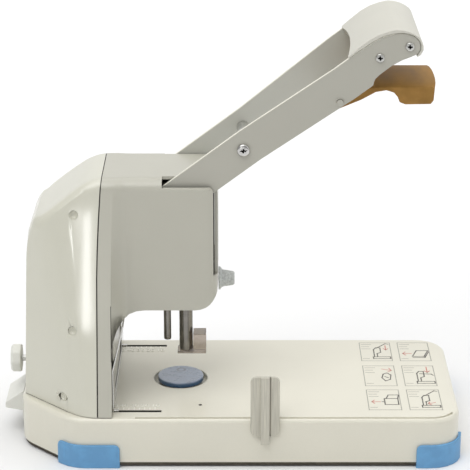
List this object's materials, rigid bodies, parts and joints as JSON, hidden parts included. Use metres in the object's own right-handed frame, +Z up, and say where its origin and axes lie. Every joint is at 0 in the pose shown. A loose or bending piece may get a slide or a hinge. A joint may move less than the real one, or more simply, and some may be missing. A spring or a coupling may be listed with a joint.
{
  "type": "lever paper punch and rivet binder",
  "caption": "Bench-top lever press that punches and rivets paper stacks: column head, forked lever, rack-driven hollow punch, turning pad, backstop and side fence.",
  "frame": {"origin": "middle of the bounding box, on the table under the feet", "axes": "+X from the column to the open working front, +Z up, -Y the side with the fence"},
  "size_m": [0.4418, 0.2065, 0.4154],
  "materials": {
    "enamel": "ivory enamel, semi-gloss",
    "shell": "stone-grey moulded plastic, semi-gloss",
    "steel": "grey powder coat",
    "grip": "ivory moulded plastic",
    "amber": "amber-brown plastic",
    "rubber": "blue soft rubber",
    "pad": "blue nylon",
    "chrome": "polished",
    "zinc": "zinc plated",
    "dark": "dark phosphate",
    "knob": "white plastic",
    "cast": "cast zinc, tumbled",
    "fence": "grey plastic",
    "clear": "smoked acrylic",
    "bronze": "sintered bronze"
  },
  "bodies": {
    "base": {"base_housing": "enamel", "base_plate": "dark", "cover_screw_bottom_far": "zinc", "cover_screw_bottom_near": "zinc", "cover_screw_middle_far": "zinc", "cover_screw_middle_near": "zinc", "cover_screw_top_far": "zinc", "cover_screw_top_near": "zinc", "foot_front_far": "rubber", "foot_front_near": "rubber", "foot_rear_far": "rubber", "foot_rear_near": "rubber", "frame_cheek_far": "steel", "frame_cheek_near": "steel", "frame_foot": "dark", "guide_lower": "cast", "guide_upper": "cast", "head_shell": "shell", "plate_screw_front_far": "zinc", "plate_screw_front_near": "zinc", "plate_screw_rear_far": "zinc", "plate_screw_rear_near": "zinc", "presser_spring": "zinc", "rear_cover": "shell", "return_spring": "zinc", "shaft_bush_far": "bronze", "shaft_bush_near": "bronze", "stud_block": "cast"},
    "lever": {"arm_near": "steel", "arm_far": "steel", "lever_shaft": "zinc", "sector_gear": "dark", "cross_bolt": "chrome", "cross_spacer": "zinc", "cross_nut": "zinc", "grip": "grip", "grip_screw_rear_near": "zinc", "grip_screw_rear_far": "zinc", "grip_screw_tip_near": "zinc", "grip_screw_tip_far": "zinc", "squeeze_pin": "zinc"},
    "squeeze": {"squeeze_handle": "amber"},
    "punch": {"punch_rack": "zinc", "hollow_punch": "chrome"},
    "presser": {"presser_rod": "chrome", "presser_foot": "clear"},
    "pad": {"cutting_pad": "pad", "pad_spindle": "zinc"},
    "backstop": {"backstop_plate": "chrome", "backstop_carriage": "zinc"},
    "rear_clamp": {"rear_knob": "knob", "rear_stud": "zinc"},
    "drawer": {"chip_drawer": "knob", "drawer_pull": "knob"},
    "fence": {"side_fence": "fence"},
    "front_clamp": {"front_knob": "cast", "front_stud": "zinc"}
  },
  "joints": [
    {"name": "lever_swing", "type": "hinge", "parent": "base", "child": "lever", "pos_m": [-0.13, 0, 0.19], "axis": [0, 1, 0], "range_deg": [0, 34.38], "stiffness_Nm_per_rad": 1.9, "springref_deg": -114.59},
    {"name": "punch_slide", "type": "slide", "parent": "base", "child": "punch", "axis": [0, 0, -1], "range_m": [0, 0.0379]},
    {"name": "presser_slide", "type": "slide", "parent": "base", "child": "presser", "axis": [0, 0, -1], "range_m": [0, 0.0256], "deforming": ["presser_spring"]},
    {"name": "handle_squeeze", "type": "hinge", "parent": "lever", "child": "squeeze", "pos_m": [0.1, 0, 0.347], "axis": [0, -1, 0], "range_deg": [0, 8], "stiffness_Nm_per_rad": 2, "springref_deg": -14.32},
    {"name": "pad_turn", "type": "hinge", "parent": "base", "child": "pad", "pos_m": [-0.0493, 0, 0.0525], "axis": [0, 0, 1], "continuous": true},
    {"name": "backstop_slide", "type": "slide", "parent": "base", "child": "backstop", "axis": [1, 0, 0], "range_m": [0, 0.036]},
    {"name": "rear_clamp_turn", "type": "hinge", "parent": "base", "child": "rear_clamp", "pos_m": [-0.2055, 0, 0.0705], "axis": [1, 0, 0], "range_deg": [0, 720]},
    {"name": "drawer_slide", "type": "slide", "parent": "base", "child": "drawer", "axis": [-1, 0, 0], "range_m": [0, 0.078]},
    {"name": "fence_slide", "type": "slide", "parent": "base", "child": "fence", "axis": [1, 0, 0], "range_m": [-0.11, 0.142]},
    {"name": "front_clamp_turn", "type": "hinge", "parent": "base", "child": "front_clamp", "pos_m": [-0.004, 0, 0.1545], "axis": [1, 0, 0], "range_deg": [0, 720]}
  ],
  "couplings": [
    {"joint": "punch_slide", "follows": "lever_swing", "m_per_rad": 0.063},
    {"joint": "presser_slide", "follows": "lever_swing", "m_per_rad": 0.0425}
  ]
}
